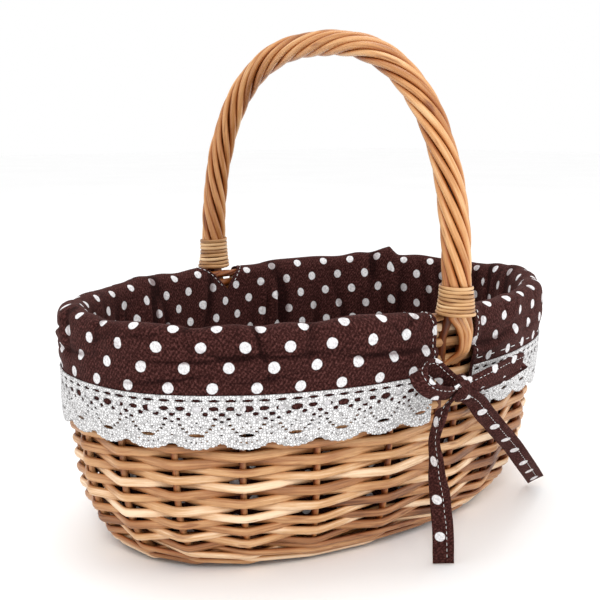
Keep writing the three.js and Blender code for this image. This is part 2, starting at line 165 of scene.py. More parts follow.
def waves(position, lengths, sizes):
    """Soft irregular ripples made of sines with seeded phases."""
    total = 0.0
    for length, size in zip(lengths, sizes):
        total = total + size * np.sin(2 * math.pi * (position / length + RNG.random()))
    return total


# ---------------------------------------------------------------- wall surface
def wall_inset(z):
    left = 1 - z / WALL_HEIGHT
    return WALL_LEAN * left + CORNER_INSET * np.maximum(left, 0) ** CORNER_SHARPNESS


def wall_slope(z):
    """How far the wall leans in for each millimetre down."""
    return wall_inset(z - 0.5) - wall_inset(z + 0.5)


def wall(angle, z, out=0.0):
    """Points on the wall, moved out along its normal; also the normal and the way up."""
    angle, z, out = np.broadcast_arrays(angle, np.asarray(z, float), out)
    inset = wall_inset(z)
    ease = share(z - TUCK_START, TUCK_RISE)
    ease = ease * ease * (3 - 2 * ease)
    bulge = END_BULGE * share(z, BULGE_RISE) - (END_BULGE + END_TUCK) * ease
    length, width = RIM_HALF_LENGTH + bulge - inset, RIM_HALF_WIDTH - inset
    x = length * signed_power(np.cos(angle), 2 / SQUARENESS)
    y = width * signed_power(np.sin(angle), 2 / SQUARENESS)
    nx, ny = np.moveaxis(unit(stacked(x / length**2, y / width**2)), -1, 0)
    slope = wall_slope(z)
    normal = unit(stacked(nx, ny, -slope))
    up = unit(stacked(nx * slope, ny * slope, 1.0))
    return stacked(x, y, z) + normal * out[..., None], normal, up


def wall_heights(start, end, pitch):
    """Heights between start and end at equal steps along the wall's curved profile."""
    z = np.linspace(start, end, 600)
    run = np.concatenate([[0], np.cumsum(np.hypot(1, wall_slope(z)[1:]) * np.diff(z))])
    count = int(run[-1] / pitch) + 1
    return np.interp(np.linspace(0, run[-1], count), run, z)


RIM_TURN = np.linspace(-math.pi, math.pi, 2881)
RIM_POINTS = wall(RIM_TURN, 95.0, 2.0)[0]
RIM_ARC = run_along(RIM_POINTS)
RIM_LENGTH = RIM_ARC[-1]


def angle_at(arc):
    """Angle of a point given by its distance round the rim from the left end, near side first."""
    return np.interp(np.mod(arc, RIM_LENGTH), RIM_ARC, RIM_TURN)


def arc_at(angle):
    """Distance round the rim at an angle, the other way round from angle_at."""
    return np.interp(np.mod(angle + math.pi, 2 * math.pi) - math.pi, RIM_TURN, RIM_ARC)


# ---------------------------------------------------------------- mesh building
def new_object(name, data):
    thing = bpy.data.objects.new(name, data)
    bpy.context.scene.collection.objects.link(thing)
    return thing


class Shape:
    """Points, faces and per-point values gathered for one object."""

    def __init__(self):
        self.points, self.faces, self.values, self.count = [], [], {}, 0

    def add(self, points, faces, **values):
        points = np.asarray(points, float).reshape(-1, 3)
        self.points.append(points)
        self.faces += [np.asarray(f, int) + self.count for f in faces if len(f)]
        for name, value in values.items():
            self.values.setdefault(name, []).append(np.asarray(value, float).reshape(len(points), -1))
        self.count += len(points)

    def make(self, name, look, thickness=0.0):
        """One object from everything added; a look is a material, the body to ride on and a slot."""
        material, body, slot = look
        mesh = bpy.data.meshes.new(name)
        points = np.concatenate(self.points) * MM
        loops = np.concatenate([f.ravel() for f in self.faces])
        sizes = np.concatenate([np.full(len(f), f.shape[1]) for f in self.faces])
        starts = np.concatenate([[0], np.cumsum(sizes)[:-1]])
        mesh.vertices.add(len(points))
        mesh.vertices.foreach_set("co", points.ravel())
        mesh.loops.add(len(loops))
        mesh.loops.foreach_set("vertex_index", loops.astype(np.int32))
        mesh.polygons.add(len(sizes))
        mesh.polygons.foreach_set("loop_start", starts.astype(np.int32))
        mesh.update(calc_edges=True)
        mesh.validate()
        for key, parts in self.values.items():
            value = np.concatenate(parts)
            kind, field = ("FLOAT", "value") if value.shape[1] == 1 else ("FLOAT_VECTOR", "vector")
            mesh.attributes.new(key, kind, "POINT").data.foreach_set(field, value.ravel())
        mesh.polygons.foreach_set("use_smooth", np.full(len(sizes), True))
        mesh.materials.append(material)
        piece = new_object(name, mesh)
        if thickness:
            solid = piece.modifiers.new("thickness", "SOLIDIFY")
            solid.thickness = thickness * MM
            solid.offset = 0
        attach(piece, body)
        return piece


def grid_faces(rows, columns, loop=False):
    """Quads between the points of a grid, closed from the last row to the first if it is a loop."""
    i = np.arange(rows - (0 if loop else 1))[:, None]
    j = np.arange(columns - 1)[None, :]
    a = i * columns + j
    b = (i + 1) % rows * columns + j
    return np.stack([a, b, b + 1, a + 1], -1).reshape(-1, 4)


def tube_faces(rings, sides, closed):
    """Quads round a tube, with a face on each end if it isn't closed."""
    i = np.arange(rings if closed else rings - 1)[:, None]
    j = np.arange(sides)[None, :]
    k = (j + 1) % sides
    ahead = (i + 1) % rings
    quads = np.stack([i * sides + j, i * sides + k, ahead * sides + k, ahead * sides + j], -1)
    faces = [quads.reshape(-1, 4)]
    if not closed:
        first = np.arange(sides)[::-1][None, :]
        last = (rings - 1) * sides + np.arange(sides)[None, :]
        faces += [first, last]
    return faces


def tube(shape, path, across, over, half_across, half_over, tone, sides=8, closed=False, power=1.0,
         deep=0.0, outside=None, groove=1.2):
    """A rod along path, with its grain, its tone and painted shade: darker where it sits in the gaps
    between rods and on its side turned inwards.
    """
    n = len(path)
    around = np.linspace(0, 2 * math.pi, sides, endpoint=False)
    c = signed_power(np.cos(around), power)
    s = signed_power(np.sin(around), power)
    wide = column(half_across, n) * c
    tall = column(half_over, n) * s
    points = path[:, None] + wide[..., None] * across[:, None] + tall[..., None] * over[:, None]
    start = RNG.uniform(0, 4000)
    grain = stacked((run_along(path) + start)[:, None], wide, tall)
    tones = np.broadcast_to(column(tone, n), wide.shape)
    radial = c[None, :, None] * across[:, None] + s[None, :, None] * over[:, None]
    facing = across if outside is None else outside
    # painted shade: the side of the rod turned away from facing, and its edges, get darker by groove
    inward = np.clip(0.5 - 0.5 * (radial * facing[:, None]).sum(-1), 0, 1)
    sunk = np.clip(column(deep, n) + groove * inward**1.5, 0, 1)
    shape.add(points, tube_faces(n, sides, closed), grain=grain, tone=tones, deep=sunk)


def carried_frame(path):
    """Two directions across a path that turn with it without twisting."""
    along = unit(np.gradient(path, axis=0))
    side = np.cross((0.0, 0.0, 1.0), along[0])
    if np.linalg.norm(side) < 0.1:
        side = np.cross((0.0, 1.0, 0.0), along[0])
    sides = []
    for direction in along:
        side = unit(side - direction * side.dot(direction))
        sides.append(side)
    sides = np.array(sides)
    return sides, np.cross(along, sides)


def smooth_path(points, steps):
    """Catmull-Rom curve through points with the given number of steps in each stretch."""
    points = np.asarray(points, float)
    p = np.vstack([2 * points[0] - points[1], points, 2 * points[-1] - points[-2]])
    out = []
    t = np.linspace(0, 1, steps, endpoint=False)[:, None]
    for i in range(1, len(p) - 2):
        a, b, c, d = p[i - 1 : i + 3]
        square = (2 * a - 5 * b + 4 * c - d) * t**2
        cube = (3 * b - a - 3 * c + d) * t**3
        out.append(0.5 * (2 * b + (c - a) * t + square + cube))
    return np.vstack([*out, points[-1:]])


# ---------------------------------------------------------------- materials
class Nodes:
    """Small helper that adds and links shader nodes."""

    def __init__(self, name):
        self.material = bpy.data.materials.new(name)
        self.material.use_nodes = True
        self.tree = self.material.node_tree
        self.shader = self.tree.nodes["Principled BSDF"]

    def add(self, kind, inputs=None, **settings):
        node = self.tree.nodes.new(kind)
        for key, value in settings.items():
            setattr(node, key, value)
        for key, value in (inputs or {}).items():
            self.put(value, node.inputs[key])
        return node

    def put(self, value, socket):
        if isinstance(value, bpy.types.NodeSocket):
            self.tree.links.new(value, socket)
        else:
            socket.default_value = value

    def math(self, operation, a, b=0.0, c=0.0, clamp=False):
        node = self.add("ShaderNodeMath", operation=operation, use_clamp=clamp)
        for socket, value in zip(node.inputs, (a, b, c)):
            self.put(value, socket)
        return node.outputs[0]

    def attribute(self, name, output="Fac"):
        return self.add("ShaderNodeAttribute", attribute_name=name).outputs[output]

    def scaled(self, vector, scale):
        node = self.add("ShaderNodeVectorMath", operation="MULTIPLY")
        self.put(vector, node.inputs[0])
        node.inputs[1].default_value = scale
        return node.outputs[0]

    def noise(self, vector, scale=1.0, detail=3.0, rough=0.5):
        inputs = {"Vector": vector, "Scale": scale, "Detail": detail, "Roughness": rough}
        return self.add("ShaderNodeTexNoise", inputs).outputs["Fac"]

    def ramp(self, factor, stops):
        node = self.add("ShaderNodeValToRGB", {"Fac": factor})
        elements = node.color_ramp.elements
        while len(elements) < len(stops):
            elements.new(0.5)
        for element, (position, colour) in zip(elements, stops):
            element.position = position
            element.color = (*colour, 1)
        return node.outputs["Color"]

    def mix(self, factor, a, b, blend="MIX"):
        node = self.add("ShaderNodeMix", data_type="RGBA", blend_type=blend)
        self.put(factor, node.inputs[0])
        self.put(a, node.inputs[6])
        self.put(b, node.inputs[7])
        return node.outputs[2]

    def bump(self, height, strength, distance):
        inputs = {"Height": height, "Strength": strength, "Distance": distance}
        return self.add("ShaderNodeBump", inputs).outputs["Normal"]

    def finish(self, colour, roughness, normal, **sockets):
        self.put(colour, self.shader.inputs["Base Color"])
        self.put(roughness, self.shader.inputs["Roughness"])
        self.put(normal, self.shader.inputs["Normal"])
        for key, value in sockets.items():
            self.shader.inputs[key.replace("_", " ")].default_value = value
        return self.material


# Painted shade: darkens willow in the gaps between rods and on their sides turned inwards
GROOVE_PAINTED_SHADE = [(0.05, (1, 1, 1)), (0.45, (0.70, 0.46, 0.26)), (1.0, (0.32, 0.13, 0.04))]
KNOT_STAIN = [(0.68, (1, 1, 1)), (0.78, (0.55, 0.42, 0.34))]


def willow_look(name, stops, roughness=0.42, streak=0.95):
    """Peeled willow: long streaks along each rod, blotches, a tone of its own for each rod, and painted
    shade in the grooves between rods.
    """
    n = Nodes(name)
    grain = n.attribute("grain", "Vector")
    streaks = n.noise(n.scaled(grain, (0.04, 1.0, 1.0)), 1.0, 7.0, 0.68)
    blotches = n.noise(n.scaled(grain, (0.035, 0.12, 0.12)), 1.0, 3.0, 0.5)
    fine = n.noise(n.scaled(grain, (0.35, 3.2, 3.2)), 1.0, 2.0, 0.5)
    level = n.math("MULTIPLY_ADD", streaks, streak, -0.5 * streak)
    patch = n.math("MULTIPLY_ADD", blotches, 0.7, -0.35)
    level = n.math("ADD", n.math("ADD", level, patch), n.attribute("tone"), clamp=True)
    colour = n.ramp(level, stops)
    knots = n.noise(n.scaled(grain, (0.06, 0.35, 0.35)), 1.0, 1.0, 0.4)
    colour = n.mix(1.0, colour, n.ramp(knots, KNOT_STAIN), "MULTIPLY")
    # painted shade: darker where the deep attribute says the rod sits in a gap or faces inwards
    colour = n.mix(1.0, colour, n.ramp(n.attribute("deep"), GROOVE_PAINTED_SHADE), "MULTIPLY")
    height = n.math("ADD", streaks, n.math("MULTIPLY", fine, 0.5))
    gloss = n.math("MULTIPLY_ADD", fine, 0.22, roughness - 0.11)
    return n.finish(colour, gloss, n.bump(height, 0.6, 0.0004), Specular_IOR_Level=0.45)


BROWN_STOPS = [
    (0.34, (0.006, 0.0008, 0.0006)),
    (0.5, (0.033, 0.009, 0.0075)),
    (0.66, (0.125, 0.046, 0.041)),
]
BROWN_SLUB = (0.058, 0.020, 0.018, 1)
DOT_STOPS = [(0.3, (0.46, 0.44, 0.46)), (0.6, (0.86, 0.85, 0.85))]
# Painted shade for the cloth's creases
CREASE_PAINTED_SHADE = [(0.0, (1, 1, 1)), (1.0, (0.34, 0.28, 0.28))]
THREAD_PITCH = 0.62
DOT_EDGE = 0.12  # half the width over which a dot fades


def dot_mask(n, flat, split):
    """One inside the staggered dots, with slightly ragged edges."""
    distances = []
    for shift in (0.0, 0.5):
        offset = {}
        for axis, pitch in (("X", DOT_PITCH), ("Y", 2 * DOT_ROW)):
            cell = n.math("MULTIPLY_ADD", split.outputs[axis], 1 / pitch, shift)
            centred = n.math("SUBTRACT", n.math("FRACT", cell), 0.5)
            offset[axis] = n.math("MULTIPLY", centred, pitch)
        across = n.math("ADD", offset["X"], n.math("MULTIPLY", offset["Y"], split.outputs["Z"]))
        squares = [n.math("POWER", value, 2.0) for value in (across, offset["Y"])]
        distances.append(n.math("SQRT", n.math("ADD", *squares)))
    nearest = n.math("MINIMUM", *distances)
    ragged = n.noise(flat, 1.4, 2.0, 0.6)
    nearest = n.math("ADD", nearest, n.math("MULTIPLY", n.math("SUBTRACT", ragged, 0.5), 0.5))
    limits = {"From Min": DOT_RADIUS - DOT_EDGE, "From Max": DOT_RADIUS + DOT_EDGE}
    shares = {"To Min": 1.0, "To Max": 0.0}
    return n.add("ShaderNodeMapRange", {"Value": nearest, **limits, **shares}).outputs[0]


def cotton_look():
    """Dark brown plain cotton with staggered white dots, laid out in the cloth's flat coordinates, with
    painted shade in its creases.
    """
    n = Nodes("brown dotted cotton")
    flat = n.attribute("cloth", "Vector")
    split = n.add("ShaderNodeSeparateXYZ", {"Vector": flat})
    dot = dot_mask(n, flat, split)
    threads = [n.math("MULTIPLY", split.outputs[axis], 2 * math.pi / THREAD_PITCH) for axis in ("X", "Y")]
    weave = n.math("MULTIPLY", *[n.math("SINE", thread) for thread in threads])
    speckle = n.noise(n.scaled(flat, (0.95, 0.7, 0.0)), 1.0, 4.0, 0.75)
    slub = n.noise(n.scaled(flat, (0.12, 1.1, 0.0)), 1.0, 3.0, 0.6)
    twill = n.math("SINE", n.math("MULTIPLY", n.math("ADD", split.outputs["X"], split.outputs["Y"]), TWILL))
    mottle = n.math("ADD", speckle, n.math("MULTIPLY", twill, 0.035))
    brown = n.mix(n.math("MULTIPLY", slub, 0.3), n.ramp(mottle, BROWN_STOPS), BROWN_SLUB)
    colour = n.mix(dot, brown, n.ramp(speckle, DOT_STOPS))
    # painted shade: darker in the cloth's creases, from the deep attribute
    colour = n.mix(1.0, colour, n.ramp(n.attribute("deep"), CREASE_PAINTED_SHADE), "MULTIPLY")
    height = n.math("ADD", n.math("MULTIPLY", weave, 0.35), n.math("MULTIPLY", slub, 0.6))
    height = n.math("ADD", height, n.math("MULTIPLY", dot, 0.25))
    normal = n.bump(height, 0.4, 0.00022)
    return n.finish(colour, 0.85, normal, Sheen_Weight=0.06, Sheen_Roughness=0.4,
                    Sheen_Tint=(1.0, 0.5, 0.45, 1.0), Specular_IOR_Level=0.06)


# Painted shade: the dark end of the ramp darkens the thread in the dips between its loops
LACE_STOPS = [(0.16, (0.12, 0.115, 0.115)), (0.36, (0.50, 0.49, 0.49)), (0.62, (0.93, 0.93, 0.93))]


def lace_look():
    """White cotton crochet: small loops in the thread, in the lace's flat coordinates, with painted shade
    between the loops.
    """
    n = Nodes("white cotton lace")
    flat = n.attribute("cloth", "Vector")
    sockets = {"Vector": flat, "Scale": 0.85, "Randomness": 0.7}
    cells = n.add("ShaderNodeTexVoronoi", sockets, feature="DISTANCE_TO_EDGE")
    loops = cells.outputs["Distance"]
    thread = n.noise(flat, 2.6, 3.0, 0.65)
    level = n.math("ADD", n.math("MULTIPLY", loops, 1.6), n.math("MULTIPLY", thread, 0.5), clamp=True)
    return n.finish(n.ramp(level, LACE_STOPS), 0.85, n.bump(level, 0.6, 0.0005), Specular_IOR_Level=0.2)


def thread_look():
    """White cotton sewing thread with a faint twist."""
    n = Nodes("white sewing thread")
    place = n.scaled(n.add("ShaderNodeTexCoord").outputs["Object"], (1000, 1000, 1000))
    twist = n.noise(place, 2.0, 2.0, 0.5)
    colour = n.ramp(twist, [(0.3, (0.66, 0.65, 0.64)), (0.7, (0.9, 0.9, 0.89))])
    return n.finish(colour, 0.8, n.bump(twist, 0.4, 0.0002))


WALL_STOPS = [
    (0.05, (0.13, 0.040, 0.010)),
    (0.35, (0.39, 0.168, 0.062)),
    (0.60, (0.62, 0.345, 0.155)),
    (0.88, (0.90, 0.67, 0.45)),
]
STAKE_STOPS = [(0.1, (0.16, 0.055, 0.016)), (0.5, (0.46, 0.21, 0.08)), (0.9, (0.66, 0.38, 0.18))]
HANDLE_STOPS = [
    (0.05, (0.15, 0.042, 0.009)),
    (0.35, (0.42, 0.165, 0.050)),
    (0.62, (0.66, 0.325, 0.125)),
    (0.92, (0.86, 0.57, 0.30)),
]
CANE_STOPS = [(0.1, (0.24, 0.10, 0.032)), (0.5, (0.60, 0.34, 0.145)), (0.9, (0.86, 0.62, 0.36))]
WALL_LOOK = willow_look("wall willow", WALL_STOPS), "basket", "willow"
STAKE_LOOK = willow_look("stake willow", STAKE_STOPS), "basket", "stake_willow"
HANDLE_LOOK = willow_look("handle willow", HANDLE_STOPS, 0.36, 0.9), "basket", "handle_willow"
CANE_LOOK = willow_look("split cane", CANE_STOPS, 0.38, 1.3), "basket", "cane"
COTTON_LOOK = cotton_look(), "liner", "cotton"
LACE_LOOK = lace_look(), "liner", "lace"
THREAD_LOOK = thread_look(), "liner", "cotton"


# ---------------------------------------------------------------- camera, light, floor
AZIMUTH, ELEVATION = math.radians(-39.89), math.radians(9.92)
CAMERA_DISTANCE, CAMERA_ASIDE, CAMERA_HEIGHT = 545.2, -9.97, 111.3
SENSOR_WIDTH = 36
LENS = SENSOR_WIDTH * 1005.1 / 600
# Name, place, size across and power of each lamp, in metres and watts
LIGHTS = [
    ("key", (-0.75, -0.75, 0.95), 0.4, 4.2),
    ("fill", (0.75, -0.85, 0.55), 0.9, 2.8),
    ("top", (0.1, 0.25, 1.25), 0.9, 4.6),
]
LIGHT_TARGET = (0, 0, 0.1)
FLOOR_REACH = 6.0
FLOOR_STOPS = [(0.3, (0.975, 0.975, 0.975)), (0.7, (0.995, 0.995, 0.995))]


def add_camera():
    flat = math.cos(ELEVATION)
    back = Vector((math.sin(AZIMUTH) * flat, -math.cos(AZIMUTH) * flat, math.sin(ELEVATION)))
    right = Vector((math.cos(AZIMUTH), math.sin(AZIMUTH), 0))
    up = back.cross(right)
    place = Vector((0, 0, CAMERA_HEIGHT)) + right * CAMERA_ASIDE + back * CAMERA_DISTANCE
    data = bpy.data.cameras.new("camera")
    data.lens = LENS
    data.sensor_width = SENSOR_WIDTH
    data.clip_start = 0.01
    camera = new_object("camera", data)
    turn = Matrix((right, up, back)).transposed().to_4x4()
    camera.matrix_world = Matrix.Translation(place * MM) @ turn
    bpy.context.scene.camera = camera


def add_light(name, place, size, power):
    data = bpy.data.lights.new(name, "AREA")
    data.shape = "DISK"
    data.size = size
    data.energy = power
    light = new_object(name, data)
    light.location = place
    light.rotation_euler = (Vector(LIGHT_TARGET) - Vector(place)).to_track_quat("-Z", "Y").to_euler()


def add_studio():
    world = bpy.data.worlds.new("studio")
    world.use_nodes = True
    world.node_tree.nodes["Background"].inputs["Color"].default_value = (1, 1, 1, 1)
    world.node_tree.nodes["Background"].inputs["Strength"].default_value = 1.0
    bpy.context.scene.world = world
    bpy.context.scene.view_settings.view_transform = "Standard"
    for light in LIGHTS:
        add_light(*light)


def add_floor():
    mesh = bpy.data.meshes.new("floor")
    corners = [(x * FLOOR_REACH, y * FLOOR_REACH, 0) for x, y in ((-1, -1), (1, -1), (1, 1), (-1, 1))]
    mesh.from_pydata(corners, [], [(0, 1, 2, 3)])
    n = Nodes("pale floor")
    faint = n.noise(n.add("ShaderNodeTexCoord").outputs["Object"], 3.0, 2.0, 0.5)
    mesh.materials.append(n.finish(n.ramp(faint, FLOOR_STOPS), 0.9, n.bump(faint, 0.02, 0.001)))
    new_object("floor", mesh)


add_camera()
add_studio()
add_floor()


# ---------------------------------------------------------------- willow wall
def rod_tone():
    """How light one rod is, from 0 to 1."""
    return float(np.clip(RNG.normal(0.55, 0.17), 0.15, 0.95))


def woven_ring(place, outs, rises):
    """A rod's path from stake to stake round the wall, its two directions, and how deep it sits."""
    points, normals, ups = place
    knots = points + normals * outs[:, None] + ups * rises[:, None]
    at_stakes = np.concatenate([knots, normals, ups, outs[:, None]], 1)
    t = np.linspace(0, 1, SPAN_POINTS, endpoint=False)[:, None]
    spans = at_stakes[:, None] * (1 - t) + np.roll(at_stakes, -1, 0)[:, None] * t
    path, normal, up, out = np.split(spans.reshape(-1, 10), (3, 6, 9), 1)
    path = 0.25 * np.roll(path, 1, 0) + 0.5 * path + 0.25 * np.roll(path, -1, 0)
    depth = np.clip((0.2 * outs.max() - out[:, 0]) / np.ptp(outs), 0, 1)
    return path, unit(normal), unit(up), depth


def add_row(shape, ring, inside, tall):
    """Lays a closed ring as separate tapered rods that meet behind stakes."""
    path, normal, up, depth = ring
    total = len(path)
    cuts = sorted(RNG.choice(np.nonzero(inside)[0], RODS_IN_ROW, replace=False) * SPAN_POINTS)
    for start, end in zip(cuts, [*cuts[1:], cuts[0] + total]):
        index = np.arange(start, end + 1) % total
        t = np.linspace(0, 1, len(index))
        taper = (1.06 - 0.16 * t) if RNG.random() < 0.5 else (0.90 + 0.16 * t)
        girth = taper * (1 + waves(t, (0.31, 0.13), (0.03, 0.02))) * RNG.uniform(0.92, 1.06)
        steps = np.arange(len(index))
        ends = np.clip(np.minimum(steps, steps[::-1]) / 1.5, 0.55, 1)
        base = path[index] - normal[index] * (0.5 * (1 - ends))[:, None]
        tone = rod_tone() + 0.10 * waves(t, (0.7, 0.23), (0.6, 0.4))
        sizes = 0.5 * ROD_THICK * girth * ends, 0.5 * tall * girth * ends
        # painted shade: each rod is darker where it passes behind a stake
        tube(shape, base, normal[index], up[index], *sizes, tone, deep=0.45 * depth[index])


def add_wall():
    angles = FIRST_STAKE + STAKE_STEP * np.arange(STAKES)
    wale, rows = Shape(), Shape()
    for z in WALE_HEIGHTS:
        place = wall(angles, z, WALL_MID)
        for strand in range(WALE_STRANDS):
            phase = (np.arange(STAKES) - strand) % WALE_STRANDS
            inside = phase == WALE_STRANDS - 1
            outs = np.where(inside, -WEAVE_REACH, WEAVE_REACH)
            rises = np.choose(phase, WALE_RISES) + RNG.normal(0, 0.15, STAKES)
            add_row(wale, woven_ring(place, outs, rises), inside, WALE_ROD_TALL)
    for row, z in enumerate(wall_heights(ROWS_START, ROWS_END, ROW_PITCH)):
        wobble = 0.25 * waves(angles * 60, (210, 97), (1, 0.7))
        inside = (np.arange(STAKES) + row) % 2 == 0
        outs = np.where(inside, -WEAVE_REACH, WEAVE_REACH) + RNG.normal(0, 0.12, STAKES)
        rises = wobble + RNG.normal(0, 0.12, STAKES)
        add_row(rows, woven_ring(wall(angles, z, WALL_MID), outs, rises), inside, ROD_TALL)
    lower = wale.make("wale_rods", WALL_LOOK)
    upper = rows.make("wall_rods", WALL_LOOK)
    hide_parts("weave_band_1")
    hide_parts("weave_band_1", "weave_band_2")


def add_stakes():
    """Side stakes, which stand in the weave from the base to the border."""
    stakes = Shape()
    for i in range(STAKES):
        path, normal, _ = wall(FIRST_STAKE + i * STAKE_STEP, STAKE_HEIGHTS, WALL_MID)
        path = path + normal * (0.15 * waves(STAKE_HEIGHTS, (60, 31), (1, 0.6)))[:, None]
        radius = STAKE_RADIUS * np.linspace(1.08, 0.92, len(path))
        tube(stakes, path, *carried_frame(path), radius, radius, RNG.uniform(0.3, 0.62))
    piece = stakes.make("side_stakes", STAKE_LOOK)
    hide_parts(*[f"stake_{i + 1}" for i in range(STAKES)])


def add_border():
    """Rolled border: rods laid round the rim in a rope twist."""
    border = Shape()
    turn = np.linspace(0, 2 * math.pi, BORDER_POINTS, endpoint=False)
    for strand in range(BORDER_STRANDS):
        phase = 2 * math.pi * strand / BORDER_STRANDS + turn * BORDER_TURNS
        z = BORDER_Z + BORDER_HALF_HEIGHT * np.sin(phase)
        place = wall(turn, z, BORDER_MID + BORDER_HALF_WIDTH * np.cos(phase))
        tube(border, *place, *BORDER_ROD, 0.5 + 0.1 * np.cos(turn * 3 + strand), closed=True)
    piece = border.make("border_rods", WALL_LOOK)
    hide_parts("rolled_border")


# ---------------------------------------------------------------- base
def add_base_ring(mat, ring):
    """One ring of the mat, woven over and under the spokes."""
    length, width = BASE_HALF_LENGTH - BASE_RING_PITCH * ring, BASE_HALF_WIDTH - BASE_RING_PITCH * ring
    spokes = STAKES if ring < OUTER_RINGS else INNER_SPOKES
    count = spokes * SPOKE_POINTS
    angle = FIRST_STAKE + 2 * math.pi * np.arange(count) / count
    lift = signed_power(np.cos((angle - FIRST_STAKE) * spokes / 2 + math.pi * (ring % 2)), 0.7)
    lift = lift * BASE_WAVE * (1 if ring < BASE_RINGS - 2 else 0.6)
    path = stacked(length * np.cos(angle), width * np.sin(angle), BASE_Z + lift)
    outward = unit(stacked(np.cos(angle) / length, np.sin(angle) / width, 0.0))
    girth = 1 + 0.04 * waves(angle, (1.7, 0.9), (1, 1))
    tone = rod_tone() + 0.08 * np.sin(angle + ring)
    sizes = BASE_ROD_WIDE / 2 * girth, BASE_ROD_THICK / 2 * girth
    tube(mat, path, outward, np.broadcast_to(UP, outward.shape), *sizes, tone, closed=True)


def add_stick(sticks, start, end, count, sizes, tones, sides):
    path = np.linspace(start, end, count)
    tube(sticks, path, *carried_frame(path), *sizes, RNG.uniform(*tones), sides)


def add_base():
    """Oval mat of rods woven round spokes, with long sticks in it and cross sticks over it."""
    mat, sticks = Shape(), Shape()
    for ring in range(BASE_RINGS):
        add_base_ring(mat, ring)
    for angle in FIRST_STAKE + STAKE_STEP * np.arange(STAKES):
        ends = [(x * math.cos(angle), y * math.sin(angle), BASE_Z) for x, y in SPOKE_ENDS]
        add_stick(sticks, *ends, 12, (1.25, 1.2), (0.3, 0.6), 8)
    for y, half in LONG_STICKS:
        add_stick(sticks, (-half, y, BASE_Z), (half, y, BASE_Z), 24, (1.4, 1.4), (0.4, 0.6), 10)
    for x in CROSS_STICKS_X:
        ends = [(x, y, CROSS_STICK_Z) for y in (-CROSS_STICK_HALF, CROSS_STICK_HALF)]
        add_stick(sticks, *ends, 18, (1.4, 1.3), (0.4, 0.6), 10)
    weave = mat.make("base_rods", WALL_LOOK)
    frame_piece = sticks.make("base_sticks", STAKE_LOOK)
    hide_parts("base_weave")
    names = ["base_long_stick_1", "base_long_stick_2"]
    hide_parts(*names, *[f"base_cross_stick_{i}" for i in (1, 2, 3)])


# ---------------------------------------------------------------- handle
def arch_points():
    """Points at equal steps along the handle's middle line, from the far foot to the near one."""
    s = np.linspace(0, math.pi, 4001)
    y = ARCH_HALF_SPAN * signed_power(np.cos(s), ARCH_POWER)
    z = FOOT_Z + (ARCH_TOP - FOOT_Z) * np.abs(np.sin(s)) ** ARCH_POWER
    line = stacked(0.0, y, z)
    run = run_along(line)
    points = points_at(np.linspace(0, run[-1], ARCH_STEPS), run, line)
    along = np.gradient(points, axis=0)
    along[[0, -1]] = (0, 0, 1), (0, 0, -1)
    return points, unit(along)


def spiral_paths(points, along):
    """Paths of the rods twisted round the handle's middle line."""
    across = np.array([1.0, 0.0, 0.0])
    outward = np.cross(across, along)
    u = np.linspace(0, 1, ARCH_STEPS)
    paths = []
    for i in range(HANDLE_RODS):
        angle = 2 * math.pi * ((i + 0.5) / HANDLE_RODS + TWISTS * u)
        angle = angle + 0.05 * waves(u, (0.5, 0.21), (1, 0.7))
        radius = HELIX_RADIUS - 0.5 * bell(u - 0.5, 0.22) + 0.15 * waves(u, (0.37, 0.16), (1, 0.6))
        path = points + (radius * np.cos(angle))[:, None] * across
        paths.append(path + (radius * np.sin(angle))[:, None] * outward)
    return paths


def splay_order(side, paths):
    """Numbers of the rods on the outer side of one foot, in order across it."""
    ends = [path[0 if side > 0 else -1] for path in paths]
    outer = [(side * end[0], i) for i, end in enumerate(ends) if side * end[1] > ARCH_HALF_SPAN + 1]
    return [i for _, i in sorted(outer, reverse=True)]


def splay_points(side, slot):
    """Where a rod leaves the binding, spreads over the weave and goes in between the wall's rods."""
    points = []
    for level, z in enumerate(SPLAY_LEVELS):
        x = -side * SPLAY_X[slot][level]
        angle = side * math.pi / 2 - side * math.asin(x / RIM_HALF_LENGTH)
        stack = SPLAY_STACK if slot in STACKED_SLOTS and level in STACKED_LEVELS else 0
        point = wall(angle, z, HANDLE_ROD_RADIUS + SPLAY_LIFT[level] + stack)[0]
        point[0] = x
        points.append(point)
    return points


def foot_curve(path, side, order, rod):
    """Carries a rod on from its last point: over the weave if it spreads there, or a little down."""
    if rod not in order:
        return path[-1:] - ROD_END_DROP * UP
    feet = splay_points(side, order.index(rod))
    return smooth_path([path[-4], path[-1], *feet], SPLAY_STEPS)[SPLAY_STEPS + 1 :]


def away_from_arch(whole, points):
    """For each point of a rod, the way out from the handle's middle, or from the wall below it."""
    nearest = np.linalg.norm(whole[:, None] - points[None], axis=-1).argmin(1)
    below = share(FOOT_Z + 4 - whole[:, 2], 6)[:, None]
    from_wall = np.sign(whole[:, 1:2]) * np.array([[0.0, 8.0, 0.0]])
    return unit((whole - points[nearest]) * (1 - below) + from_wall * below)


